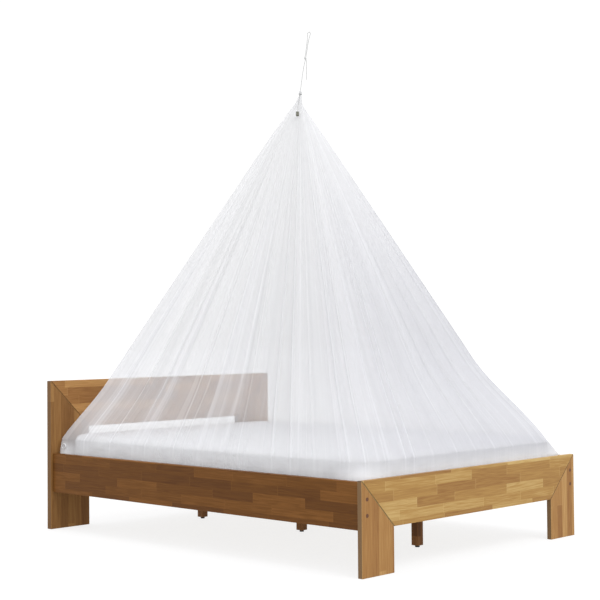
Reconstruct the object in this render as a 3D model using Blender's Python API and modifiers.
"""Single-point mosquito net canopy hung over a solid-wood double bed.

Metres, +Z up. The origin is on the floor under the middle of the bed. The foot of the bed
faces -Y and the head +Y. The near long side, seen first by a viewer at the foot's left,
faces -X.
"""
import math

import bmesh
import bpy
import numpy as np
from mathutils import Vector

# ---------------------------------------------------------------- driving dimensions
JOINT_GAP = 0.0003          # air between two pieces that touch

# bed frame
BED_WIDTH = 1.516
BED_LENGTH = 2.076
FOOT_THICK = 0.024
HEAD_THICK = 0.032
FOOT_TOP = 0.380
HEAD_TOP = 0.733
FOOT_BOARD_WIDTH = 0.195    # legs and board of the foot end
HEAD_BOARD_WIDTH = 0.235    # legs and board of the head end
RAIL_THICK = 0.025
RAIL_INSET = 0.012          # rails stand back from the outer edges of the posts
RAIL_TOP = 0.374
RAIL_BOTTOM = 0.184
ARRIS = 0.0015              # broken edge on every board

PLUG_RADIUS = 0.008
PLUG_DEPTH = 0.006
PLUG_INSET = 0.032          # from the outer edge of the post
PLUG_DROPS = (0.073, 0.137)  # from the top of the foot end

# what carries the mattress
SLAT_TOP = 0.280
SLAT_THICK = 0.018
SLAT_WIDTH = 0.080
SLAT_COUNT = 12
SLAT_PLAY = 0.003           # from a slat's end to the rail
LEDGER_WIDTH = 0.025
LEDGER_HEIGHT = 0.030
BEAM_WIDTH = 0.040
BEAM_HEIGHT = 0.055
LEG_SIDE = 0.038
LEG_PLACES = (-0.701, 0.015, 0.731)   # along the middle of the bed
GLIDE_RADIUS = 0.0105
GLIDE_HEIGHT = 0.008

# mattress
MATTRESS_HALF_WIDTH = 0.6975
MATTRESS_FOOT = -0.999
MATTRESS_HEAD = 0.991
MATTRESS_TOP = 0.465
MATTRESS_CORNER = 0.150     # rounding in plan
MATTRESS_SHOULDER = 0.035   # rounding of the top rim
MATTRESS_HEEL = 0.020       # rounding of the bottom rim

# net
TIP_HEIGHT = 2.140
EDGE_HEIGHT = 0.447         # where the net turns down over the mattress rim
RAIL_LEVEL = 0.385          # where it passes into the gap beside the frame
HEM_HEIGHT = 0.305          # tucked hem, below the top of the rails
NET_THICK = 0.002
NECK_RADIUS = 0.0055        # gathered cloth under the binding
NECK_MOUTH = 0.0075         # gathered cloth above the binding
PLEAT_HALF = 0.014          # half the width of a fold at the mattress

# Corners of the net, in the order in which its sides run. At the mattress rim (edge) and in
# the gap (tuck): place x, y and rounding. Then how far the ridge falls short of a straight
# line from tip to corner, as lean + slack * way down, up to the knee.
#   name         edge x  edge y  round   tuck x  tuck y  round   lean   slack  knee
CORNERS = (
    ("head_near", -0.7090, 1.0000, 0.030, -0.7135, 1.0000, 0.015, 0.000, 0.042, 0.84),
    ("foot_near", -0.7045, -1.0060, 0.120, -0.7080, -1.0070, 0.050, 0.012, 0.034, 0.80),
    ("foot_far", 0.7045, -1.0060, 0.169, 0.7080, -1.0070, 0.050, 0.032, 0.066, 0.77),
    ("head_far", 0.7045, 0.9980, 0.120, 0.7080, 0.9985, 0.050, 0.014, 0.036, 0.80),
)

# Folds, side by side round the net. along: place on the side, 0 to 1. stand: height of the
# crest in mm. slack: how deep the cloth hangs back between this fold and the next, in mm.
#   side    along  stand  slack
FOLDS = (
    ("near", 0.000, 4, 10),
    ("near", 0.100, 6, 12),
    ("near", 0.200, 8, 12),
    ("near", 0.285, 12, 5),
    ("near", 0.330, 12, 14),
    ("near", 0.430, 8, 12),
    ("near", 0.515, 8, 16),
    ("near", 0.640, 6, 10),
    ("near", 0.745, 14, 8),
    ("near", 0.800, 14, 10),
    ("near", 0.865, 5, 12),
    ("near", 0.960, 8, 5),
    ("foot", 0.010, 10, 10),
    ("foot", 0.090, 10, 12),
    ("foot", 0.180, 14, 3),
    ("foot", 0.220, 14, 12),
    ("foot", 0.310, 6, 14),
    ("foot", 0.425, 7, 12),
    ("foot", 0.520, 6, 12),
    ("foot", 0.620, 7, 12),
    ("foot", 0.720, 6, 12),
    ("foot", 0.850, 7, 6),
    ("foot", 0.930, 5, 3),
    ("far", 0.000, 7, 3),
    ("far", 0.055, 5, 10),
    ("far", 0.150, 8, 16),
    ("far", 0.270, 12, 14),
    ("far", 0.390, 7, 18),
    ("far", 0.530, 10, 14),
    ("far", 0.660, 7, 14),
    ("far", 0.790, 12, 14),
    ("far", 0.890, 6, 8),
    ("far", 0.960, 5, 3),
    ("head", 0.020, 8, 10),
    ("head", 0.150, 8, 14),
    ("head", 0.300, 12, 12),
    ("head", 0.440, 7, 14),
    ("head", 0.600, 10, 12),
    ("head", 0.740, 7, 12),
    ("head", 0.880, 6, 8),
)
SIDES = ("near", "foot", "far", "head")

# Levels of the net between tip (0) and mattress rim (1)
LEVELS = (0.0, 0.008, 0.022, 0.055, 0.12, 0.25, 0.40, 0.55, 0.68, 0.79, 0.88, 0.95, 1.0)

# How the folds change on that way down
GATHERS_END = 0.04          # the neck's even gathers spread to their own places over this
FOLDS_START = 0.03          # folds and ridges begin over this
CREST_GROWN = 0.30          # here a crest has its full stand
HOLLOW_GROWN = 0.75         # and here a hollow its full slack
CREST_FLATTENS = (0.86, 0.72)    # towards the rim: from here, and by how much in all
HOLLOW_FLATTENS = (0.80, 0.85)
TUCKED_CREST = 0.28         # what is left of stand and slack below the rim
TUCKED_HOLLOW = 0.15
RIDGE_REACH = 1.2           # from the middle to a corner of the rim, which a ridge's shortfall is for

# cord and knots. The cord leans towards the near foot corner's right, as the net pulls it.
LEAN_SIDE = Vector((0.6925, -0.7214, 0.0))     # level direction in which cord and loop lean
BINDING_REACH = 0.0087      # middle of the binding's section from its axis
BINDING_RADIUS = 0.0013
CORD_RADIUS = 0.00175
KNOT_RADIUS = 0.0038
KNOT_STRETCH = 1.15
TIE_KNOT = Vector((0.0177, -0.0184, 2.3017))
TIE_KNOT_RADIUS = 0.0062
TIE_KNOT_STRETCH = 1.10
LOOP_TOP = Vector((0.0316, -0.0329, 2.4313))   # where the loop lies over the ceiling hook
# the hanging cord between tip and knot: lean and height
HANG_STOPS = ((0.0007, 2.1450), (0.0061, 2.1850), (0.0122, 2.2267), (0.0188, 2.2650))
# half of the loop: way up from knot to top, and distance from its middle
LOOP_STOPS = ((0.0570, 0.0024), (0.30, 0.0026), (0.60, 0.0030), (0.80, 0.0050), (0.93, 0.0072))
# the loose tail: lean and drop from the knot
TAIL_STOPS = (
    (0.0045, 0.0062), (0.0060, 0.0160), (0.0062, 0.0300), (0.0054, 0.0680), (0.0044, 0.1050),
)

# toggle on its thin cord, lying on the net just below the tip
FACING = Vector((-0.7214, -0.6925, 0.0))       # level direction from the tip to the toggle
TOGGLE_CORD_RADIUS = 0.0008
TOGGLE_SIZE = Vector((0.015, 0.011, 0.024))
TOGGLE_ROUNDING = 0.003
TOGGLE_LEAN = -0.0148
TOGGLE_REACH = 0.0581
TOGGLE_HEIGHT = 2.0199
TOGGLE_TILT = math.radians(26)
# the thin cord: distance out, lean and height
TOGGLE_STOPS = (
    (0.0082, -0.0024, 2.1247), (0.0091, -0.0040, 2.1120), (0.0118, -0.0060, 2.1000),
    (0.0190, -0.0085, 2.0800), (0.0300, -0.0118, 2.0590), (0.0425, -0.0138, 2.0430),
)

# tape loop sewn to the net at its near head corner, above the rail
CORNER_LOOP = Vector((-0.7154, 0.9595, 0.4110))
CORNER_LOOP_HALF = (0.0170, 0.0125)            # along the bed and upwards
CORNER_LOOP_RADIUS = 0.0022
CORNER_LOOP_POINTS = 24


# ---------------------------------------------------------------- scene and materials
for old in list(bpy.data.objects):
    bpy.data.objects.remove(old, do_unlink=True)

parts = bpy.data.collections.new("mosquito_net_canopy")
cutters = bpy.data.collections.new("cutters")
bpy.context.scene.collection.children.link(parts)
bpy.context.scene.collection.children.link(cutters)


def finish(name, colour, roughness):
    """A plain material in the part's colour."""
    material = bpy.data.materials.new(name)
    material.use_nodes = True
    shader = material.node_tree.nodes["Principled BSDF"]
    shader.inputs["Base Color"].default_value = (*colour, 1.0)
    shader.inputs["Roughness"].default_value = roughness
    return material


TULLE = finish("white_tulle", (0.80, 0.80, 0.84), 0.80)
TAPE = finish("white_tape", (0.78, 0.78, 0.78), 0.75)
CORD = finish("white_cord", (0.74, 0.74, 0.74), 0.70)
TOGGLE = finish("grey_plastic", (0.13, 0.13, 0.11), 0.45)
SHEETING = finish("white_cotton", (0.76, 0.76, 0.78), 0.85)
WOOD = finish("oiled_wood", (0.40, 0.22, 0.09), 0.55)
WOOD_DARK = finish("end_grain_wood", (0.24, 0.12, 0.05), 0.60)
PLASTIC = finish("black_plastic", (0.03, 0.03, 0.03), 0.50)


# ---------------------------------------------------------------- building blocks
def place(name, data, material, location=(0.0, 0.0, 0.0), collection=parts):
    """An object for the data, in its collection and with its material."""
    thing = bpy.data.objects.new(name, data)
    thing.location = location
    if material is not None:
        data.materials.append(material)
    collection.objects.link(thing)
    return thing


def break_edges(thing, width=ARRIS):
    """A small chamfer along every sharp edge."""
    bevel = thing.modifiers.new("arris", "BEVEL")
    bevel.width = width
    bevel.segments = 1
    bevel.limit_method = "ANGLE"
    bevel.angle_limit = math.radians(40)


def block(name, low, high, material, arris=ARRIS):
    """A sawn block between two corners."""
    low = Vector(low)
    high = Vector(high)
    mesh = bpy.data.meshes.new(name)
    solid = bmesh.new()
    bmesh.ops.create_cube(solid, size=1.0)
    bmesh.ops.scale(solid, vec=high - low, verts=solid.verts)
    solid.to_mesh(mesh)
    solid.free()
    thing = place(name, mesh, material, (low + high) / 2)
    if arris:
        break_edges(thing, arris)
    return thing


def board(name, outline, front, thick, material):
    """A board standing across the bed: its outline in X and Z, from front towards +Y."""
    curve = bpy.data.curves.new(name, "CURVE")
    curve.dimensions = "2D"
    curve.fill_mode = "BOTH"
    curve.extrude = thick / 2
    spline = curve.splines.new("POLY")
    spline.points.add(len(outline) - 1)
    for point, (x, z) in zip(spline.points, outline):
        point.co = (x, z, 0.0, 1.0)
    spline.use_cyclic_u = True
    flat = place(name + "_outline", curve, None)
    flat.rotation_euler = (math.radians(90), 0.0, 0.0)
    flat.location = (0.0, front + thick / 2, 0.0)
    bpy.context.view_layer.update()
    mesh = bpy.data.meshes.new_from_object(flat.evaluated_get(bpy.context.evaluated_depsgraph_get()))
    mesh.name = name
    welded = bmesh.new()
    welded.from_mesh(mesh)
    bmesh.ops.remove_doubles(welded, verts=welded.verts, dist=0.00001)
    bmesh.ops.recalc_face_normals(welded, faces=welded.faces)
    welded.to_mesh(mesh)
    welded.free()
    thing = place(name, mesh, material)
    thing.matrix_world = flat.matrix_world
    bpy.data.objects.remove(flat)
    break_edges(thing)
    return thing


def cylinder(name, radius, height, centre, material, sides=16, along_y=False, collection=parts):
    """A round rod about its centre, upright or along Y."""
    mesh = bpy.data.meshes.new(name)
    solid = bmesh.new()
    bmesh.ops.create_cone(
        solid, cap_ends=True, segments=sides, radius1=radius, radius2=radius, depth=height
    )
    solid.to_mesh(mesh)
    solid.free()
    thing = place(name, mesh, material, centre, collection)
    if along_y:
        thing.rotation_euler = (math.radians(90), 0.0, 0.0)
    mesh.shade_smooth()
    mesh.set_sharp_from_angle(angle=math.radians(40))
    return thing


def knot(name, radius, centre, stretch, material):
    """A pulled-tight knot: a ball drawn out along the cord."""
    mesh = bpy.data.meshes.new(name)
    ball = bmesh.new()
    bmesh.ops.create_uvsphere(ball, u_segments=12, v_segments=8, radius=radius)
    bmesh.ops.scale(ball, vec=(1.0, 1.0, stretch), verts=ball.verts)
    ball.to_mesh(mesh)
    ball.free()
    mesh.shade_smooth()
    return place(name, mesh, material, centre)


def smooth_route(stops, per_span):
    """Points on a Catmull-Rom curve through the stops."""
    stops = [Vector(stop) for stop in stops]
    padded = [2 * stops[0] - stops[1], *stops, 2 * stops[-1] - stops[-2]]
    route = []
    for first, start, end, last in zip(padded, padded[1:], padded[2:], padded[3:]):
        for step in range(per_span):
            t = step / per_span
            bend = 2 * first - 5 * start + 4 * end - last
            twist = 3 * start - first - 3 * end + last
            route.append(start + 0.5 * t * ((end - first) + t * (bend + t * twist)))
    route.append(stops[-1])
    return route


def tube(name, route, radius, material, cyclic=False, resolution=2):
    """A cord along a route of points."""
    curve = bpy.data.curves.new(name, "CURVE")
    curve.dimensions = "3D"
    curve.bevel_depth = radius
    curve.bevel_resolution = resolution
    curve.use_fill_caps = True
    spline = curve.splines.new("POLY")
    spline.points.add(len(route) - 1)
    for point, stop in zip(spline.points, route):
        point.co = (*stop, 1.0)
    spline.use_cyclic_u = cyclic
    return place(name, curve, material)


# ---------------------------------------------------------------- bed frame
half_width = BED_WIDTH / 2
half_length = BED_LENGTH / 2
foot_inside = -half_length + FOOT_THICK
head_inside = half_length - HEAD_THICK
MIRRORED = (("near", -1), ("far", 1))


def mitred_end(end, front, thick, top, width):
    """Two legs and the board across them, mitred at the top corners."""
    outer = half_width
    inner = half_width - width
    slack = JOINT_GAP * math.sqrt(0.5)      # the gap runs at 45 degrees
    for side, sign in MIRRORED:
        outline = [
            (sign * outer, 0.0),
            (sign * outer, top - slack),
            (sign * inner, top - width - slack),
            (sign * inner, 0.0),
        ]
        board(f"{end}_leg_{side}", outline, front, thick, WOOD)
    across = [
        (-outer + slack, top),
        (outer - slack, top),
        (inner - slack, top - width),
        (-inner + slack, top - width),
    ]
    board(f"{end}_board", across, front, thick, WOOD)


def plug_holes(leg, sign, side):
    """Blind holes for the two wooden plugs, and the plugs, flush with the leg's face."""
    face = -half_length
    for index, drop in enumerate(PLUG_DROPS):
        x = sign * (half_width - PLUG_INSET)
        z = FOOT_TOP - drop
        hole = cylinder(
            f"cut_{side}_{index}", PLUG_RADIUS + JOINT_GAP, 2 * (PLUG_DEPTH + JOINT_GAP),
            (x, face, z), None, along_y=True, collection=cutters,
        )
        hole.hide_render = True
        hole.display_type = "WIRE"
        cut = leg.modifiers.new("plug_hole", "BOOLEAN")
        cut.operation = "DIFFERENCE"
        cut.object = hole
        cylinder(
            f"plug_{side}_{index + 1}", PLUG_RADIUS, PLUG_DEPTH,
            (x, face + PLUG_DEPTH / 2, z), WOOD_DARK, along_y=True,
        )


def bed_frame():
    """Mitred foot and head ends, side rails and the lower rail between the head legs."""
    mitred_end("foot", -half_length, FOOT_THICK, FOOT_TOP, FOOT_BOARD_WIDTH)
    mitred_end("head", head_inside, HEAD_THICK, HEAD_TOP, HEAD_BOARD_WIDTH)
    for side, sign in MIRRORED:
        plug_holes(bpy.data.objects[f"foot_leg_{side}"], sign, side)
        outer = half_width - RAIL_INSET
        xs = sorted((sign * outer, sign * (outer - RAIL_THICK)))
        block(
            f"rail_{side}",
            (xs[0], foot_inside + JOINT_GAP, RAIL_BOTTOM),
            (xs[1], head_inside - JOINT_GAP, RAIL_TOP),
            WOOD,
        )
    between = half_width - HEAD_BOARD_WIDTH - JOINT_GAP
    block(
        "head_lower_rail",
        (-between, head_inside, RAIL_BOTTOM),
        (between, head_inside + RAIL_THICK, RAIL_TOP),
        WOOD,
    )


def slat_base():
    """Ledgers on the rails, the middle beam on its three legs, and the slats across them."""
    slat_bottom = SLAT_TOP - SLAT_THICK
    carrier_top = slat_bottom - JOINT_GAP
    ends = (foot_inside + JOINT_GAP, head_inside - JOINT_GAP)
    rail_inside = half_width - RAIL_INSET - RAIL_THICK
    for side, sign in MIRRORED:
        outer = rail_inside - JOINT_GAP
        xs = sorted((sign * outer, sign * (outer - LEDGER_WIDTH)))
        block(
            f"ledger_{side}",
            (xs[0], ends[0], carrier_top - LEDGER_HEIGHT),
            (xs[1], ends[1], carrier_top),
            WOOD,
        )
    beam_bottom = carrier_top - BEAM_HEIGHT
    block(
        "middle_beam",
        (-BEAM_WIDTH / 2, ends[0], beam_bottom),
        (BEAM_WIDTH / 2, ends[1], carrier_top),
        WOOD,
    )
    for index, place_y in enumerate(LEG_PLACES, start=1):
        half = LEG_SIDE / 2
        block(
            f"middle_leg_{index}",
            (-half, place_y - half, GLIDE_HEIGHT + JOINT_GAP),
            (half, place_y + half, beam_bottom - JOINT_GAP),
            WOOD_DARK,
        )
        cylinder(f"glide_{index}", GLIDE_RADIUS, GLIDE_HEIGHT, (0.0, place_y, GLIDE_HEIGHT / 2), PLASTIC)
    reach = rail_inside - SLAT_PLAY
    spread = (ends[1] - ends[0]) - SLAT_WIDTH
    pitch = spread / SLAT_COUNT
    for index in range(SLAT_COUNT):
        start = ends[0] + pitch * (index + 0.5)
        block(
            f"slat_{index + 1}",
            (-reach, start, slat_bottom),
            (reach, start + SLAT_WIDTH, SLAT_TOP),
            WOOD,
        )


def mattress():
    """A block rounded in plan, then round its top and bottom rims."""
    bottom = SLAT_TOP + JOINT_GAP
    size = Vector((2 * MATTRESS_HALF_WIDTH, MATTRESS_HEAD - MATTRESS_FOOT, MATTRESS_TOP - bottom))
    solid = bmesh.new()
    bmesh.ops.create_cube(solid, size=1.0)
    bmesh.ops.scale(solid, vec=size, verts=solid.verts)

    def level_edges(height):
        return [e for e in solid.edges if all(abs(v.co.z - height) < 1e-5 for v in e.verts)]

    upright = [e for e in solid.edges if abs(e.verts[0].co.z - e.verts[1].co.z) > size.z / 2]
    bmesh.ops.bevel(solid, geom=upright, offset=MATTRESS_CORNER, segments=7, profile=0.5, affect="EDGES")
    for height, radius in ((size.z / 2, MATTRESS_SHOULDER), (-size.z / 2, MATTRESS_HEEL)):
        bmesh.ops.bevel(
            solid, geom=level_edges(height), offset=radius, segments=4, profile=0.5, affect="EDGES"
        )
    mesh = bpy.data.meshes.new("mattress")
    solid.to_mesh(mesh)
    solid.free()
    mesh.shade_smooth()
    place("mattress", mesh, SHEETING, (0.0, (MATTRESS_FOOT + MATTRESS_HEAD) / 2, bottom + size.z / 2))


# ---------------------------------------------------------------- net
def ramp(value, start, end):
    """0 before start, 1 after end, and a smooth rise between."""
    t = np.clip((value - start) / (end - start), 0.0, 1.0)
    return t * t * (3.0 - 2.0 * t)


def flattened(s, start, share):
    """What the rim leaves of a fold: all of it before start, all but the share at the rim."""
    return 1.0 - share * ramp(s, start, 1.0)


def net_columns():
    """Four columns of points for each fold: its two roots, its crest and the hollow after it.

    Returns the place of each column round the net, counted in sides, with its stand and
    slack in metres.
    """
    corner = [np.array(row[1:3]) for row in CORNERS]
    lengths = [float(np.linalg.norm(corner[(k + 1) % 4] - corner[k])) for k in range(4)]
    folds = [(SIDES.index(side) + along, stand, slack) for side, along, stand, slack in FOLDS]
    around, stand_out, hang_back = [], [], []
    for (turn, stand, slack), (following, _, _) in zip(folds, folds[1:] + folds[:1]):
        if following < turn:
            following += 4.0
        root = PLEAT_HALF / lengths[int(turn) % 4]
        around += [turn - root, turn, turn + root, (turn + following) / 2]
        stand_out += [0.0, stand / 1000, 0.0, 0.0]
        hang_back += [0.0, 0.0, 0.0, slack / 1000]
    return np.array(around), np.array(stand_out), np.array(hang_back)


def on_outline(turn, column):
    """Points on the rounded outline through the four corners.

    turn counts sides from the first corner, and column is where a corner's x, y and
    rounding stand in CORNERS.
    """
    table = np.array([row[column:column + 3] for row in CORNERS], dtype=float)
    side = np.floor(turn).astype(int) % 4
    along = (turn - np.floor(turn))[:, None]
    start = table[side, :2]
    end = table[(side + 1) % 4, :2]
    sharp = start + (end - start) * along
    nearest = np.where(along[:, 0] < 0.5, side, (side + 1) % 4)
    tip = table[nearest, :2]
    radius = table[nearest, 2][:, None]
    centre = tip - np.sign(tip) * radius
    away = (sharp - centre) * np.sign(tip)
    reach = np.maximum(away, 0.0)
    length = np.linalg.norm(reach, axis=1, keepdims=True)
    rounded = centre + np.sign(tip) * reach / np.maximum(length, 1e-9) * reach.max(axis=1, keepdims=True)
    in_corner = (away > 0.0).all(axis=1, keepdims=True)
    return np.where(in_corner, rounded, sharp)


def between_corners(turn, column):
    """A corner's value, eased from each corner to the next."""
    values = np.array([row[column] for row in CORNERS], dtype=float)
    side = np.floor(turn).astype(int) % 4
    ease = ramp(turn - np.floor(turn), 0.0, 1.0)
    return values[side] * (1.0 - ease) + values[(side + 1) % 4] * ease


def outward(ring):
    """Unit normals of a closed ring of points in plan, pointing away from its middle."""
    along = np.roll(ring, -1, axis=0) - np.roll(ring, 1, axis=0)
    normal = np.stack([along[:, 1], -along[:, 0]], axis=1)
    return normal / np.linalg.norm(normal, axis=1, keepdims=True)


def pressed(ring, hang_back):
    """The tucked ring with its hollows lying against the straight sides of the mattress."""
    reach = NET_THICK / 2 + JOINT_GAP
    low = np.array([-MATTRESS_HALF_WIDTH, MATTRESS_FOOT])
    high = np.array([MATTRESS_HALF_WIDTH, MATTRESS_HEAD])
    hollow = hang_back > 0.0
    for axis, other in ((0, 1), (1, 0)):
        straight = (ring[:, other] > low[other] + MATTRESS_CORNER)
        straight &= (ring[:, other] < high[other] - MATTRESS_CORNER)
        ring[hollow & straight & (ring[:, axis] < 0.0), axis] = low[axis] - reach
        ring[hollow & straight & (ring[:, axis] > 0.0), axis] = high[axis] + reach
    return ring


def net_rings():
    """The rings of points from the tip down over the mattress rim to the tucked hem."""
    around, stand_out, hang_back = net_columns()
    even = around[0] + 4.0 * np.arange(len(around)) / len(around)
    lean, slack, knee = (between_corners(around, column) for column in (7, 8, 9))
    edge = on_outline(around, 1)
    tuck = on_outline(around, 4)
    rings = []
    for s in LEVELS:
        # folds are gathered evenly in the neck and open out to their own places below it
        turn = even + (around - even) * (1.0 - math.exp(-s / GATHERS_END))
        rim = on_outline(turn, 1)
        below_neck = 1.0 - math.exp(-s / FOLDS_START)
        short = (lean + slack * s) * below_neck * (1.0 - ramp(s, knee, 1.0))
        way = np.maximum(s * below_neck - short / RIDGE_REACH, 0.0)
        neck = NECK_MOUTH if s == 0.0 else NECK_RADIUS
        length = np.linalg.norm(rim, axis=1)
        spread = np.sqrt(neck ** 2 + (length * way) ** 2)
        ring = rim / length[:, None] * spread[:, None]
        crest = stand_out * min(s / CREST_GROWN, 1.0) * flattened(s, *CREST_FLATTENS)
        hollow = hang_back * min(s / HOLLOW_GROWN, 1.0) * flattened(s, *HOLLOW_FLATTENS)
        ring = ring + outward(ring) * (below_neck * (crest - hollow))[:, None]
        rings.append((TIP_HEIGHT - s * (TIP_HEIGHT - EDGE_HEIGHT), ring))
    settled = (TUCKED_CREST * stand_out - TUCKED_HOLLOW * hang_back)[:, None]
    middle = (edge + tuck) / 2
    rings.append(((EDGE_HEIGHT + RAIL_LEVEL) / 2, middle + outward(middle) * settled))
    for height in (RAIL_LEVEL, HEM_HEIGHT):
        rings.append((height, pressed(tuck + outward(tuck) * settled, hang_back)))
    return rings


def net_canopy():
    """The net as one lofted sheet, given its thickness by Solidify."""
    rings = net_rings()
    sheet = bmesh.new()
    rows = []
    for height, ring in rings:
        rows.append([sheet.verts.new((x, y, height)) for x, y in ring])
    for upper, lower in zip(rows, rows[1:]):
        for index, corner in enumerate(upper):
            after = (index + 1) % len(upper)
            sheet.faces.new((corner, lower[index], lower[after], upper[after]))
    mesh = bpy.data.meshes.new("net_canopy")
    sheet.to_mesh(mesh)
    sheet.free()
    mesh.shade_smooth()
    net = place("net_canopy", mesh, TULLE)
    wall = net.modifiers.new("cloth", "SOLIDIFY")
    wall.thickness = NET_THICK
    wall.offset = 0.0


def tip_fittings():
    """Binding round the gathered tip, stopper knot inside it, cord, loop and loose tail."""
    pinch = TIP_HEIGHT - LEVELS[1] * (TIP_HEIGHT - EDGE_HEIGHT)
    bpy.ops.mesh.primitive_torus_add(
        major_segments=24, minor_segments=8,
        major_radius=BINDING_REACH, minor_radius=BINDING_RADIUS,
        location=(0.0, 0.0, pinch),
    )
    binding = bpy.context.object
    binding.name = "tip_binding"
    binding.data.materials.append(TAPE)
    binding.data.shade_smooth()
    for holder in list(binding.users_collection):
        holder.objects.unlink(binding)
    parts.objects.link(binding)
    knot("tip_knot", KNOT_RADIUS, (0.0, 0.0, pinch), KNOT_STRETCH, CORD)
    knot("tie_knot", TIE_KNOT_RADIUS, TIE_KNOT, TIE_KNOT_STRETCH, CORD)

    up = Vector((0.0, 0.0, 1.0))
    bottom = pinch + KNOT_RADIUS * KNOT_STRETCH + JOINT_GAP
    under_knot = TIE_KNOT - up * (TIE_KNOT_RADIUS * TIE_KNOT_STRETCH + JOINT_GAP)
    stops = [Vector((0.0, 0.0, bottom))]
    stops += [LEAN_SIDE * lean + up * height for lean, height in HANG_STOPS]
    stops.append(under_knot)
    tube("hang_cord", smooth_route(stops, 5), CORD_RADIUS, CORD)

    rise = LOOP_TOP - TIE_KNOT
    one_side = [TIE_KNOT + rise * way - LEAN_SIDE * half for way, half in LOOP_STOPS]
    other_side = [TIE_KNOT + rise * way + LEAN_SIDE * half for way, half in reversed(LOOP_STOPS)]
    tube("hook_loop", smooth_route([*one_side, LOOP_TOP, *other_side], 3), CORD_RADIUS, CORD)

    stops = [TIE_KNOT + LEAN_SIDE * lean - up * drop for lean, drop in TAIL_STOPS]
    tube("cord_tail", smooth_route(stops, 4), CORD_RADIUS, CORD)


def toggle():
    """A small plastic toggle on a thin cord from the binding, resting on the net."""
    up = Vector((0.0, 0.0, 1.0))
    centre = FACING * TOGGLE_REACH + LEAN_SIDE * TOGGLE_LEAN + up * TOGGLE_HEIGHT
    mesh = bpy.data.meshes.new("toggle")
    solid = bmesh.new()
    bmesh.ops.create_cube(solid, size=1.0)
    bmesh.ops.scale(solid, vec=TOGGLE_SIZE, verts=solid.verts)
    bmesh.ops.bevel(
        solid, geom=solid.edges[:], offset=TOGGLE_ROUNDING, segments=2, profile=0.5, affect="EDGES"
    )
    solid.to_mesh(mesh)
    solid.free()
    mesh.shade_smooth()
    thing = place("toggle", mesh, TOGGLE, centre)
    facing_turn = math.atan2(FACING.x, -FACING.y)
    thing.rotation_euler = (-TOGGLE_TILT, 0.0, facing_turn)
    axis = -FACING * math.sin(TOGGLE_TILT) + up * math.cos(TOGGLE_TILT)
    end = centre + axis * (TOGGLE_SIZE.z / 2 + 2 * JOINT_GAP)
    stops = [FACING * out + LEAN_SIDE * lean + up * height for out, lean, height in TOGGLE_STOPS]
    tube("toggle_cord", smooth_route([*stops, end], 4), TOGGLE_CORD_RADIUS, CORD)


def corner_loop():
    """The loop of tape at the net's near head corner, a flattened ring along the rail."""
    half_y, half_z = CORNER_LOOP_HALF
    route = []
    for step in range(CORNER_LOOP_POINTS):
        turn = 2 * math.pi * step / CORNER_LOOP_POINTS
        route.append(CORNER_LOOP + Vector((0.0, half_y * math.cos(turn), half_z * math.sin(turn))))
    tube("corner_loop", route, CORNER_LOOP_RADIUS, TAPE, cyclic=True)


bed_frame()
slat_base()
mattress()
net_canopy()
tip_fittings()
toggle()
corner_loop()
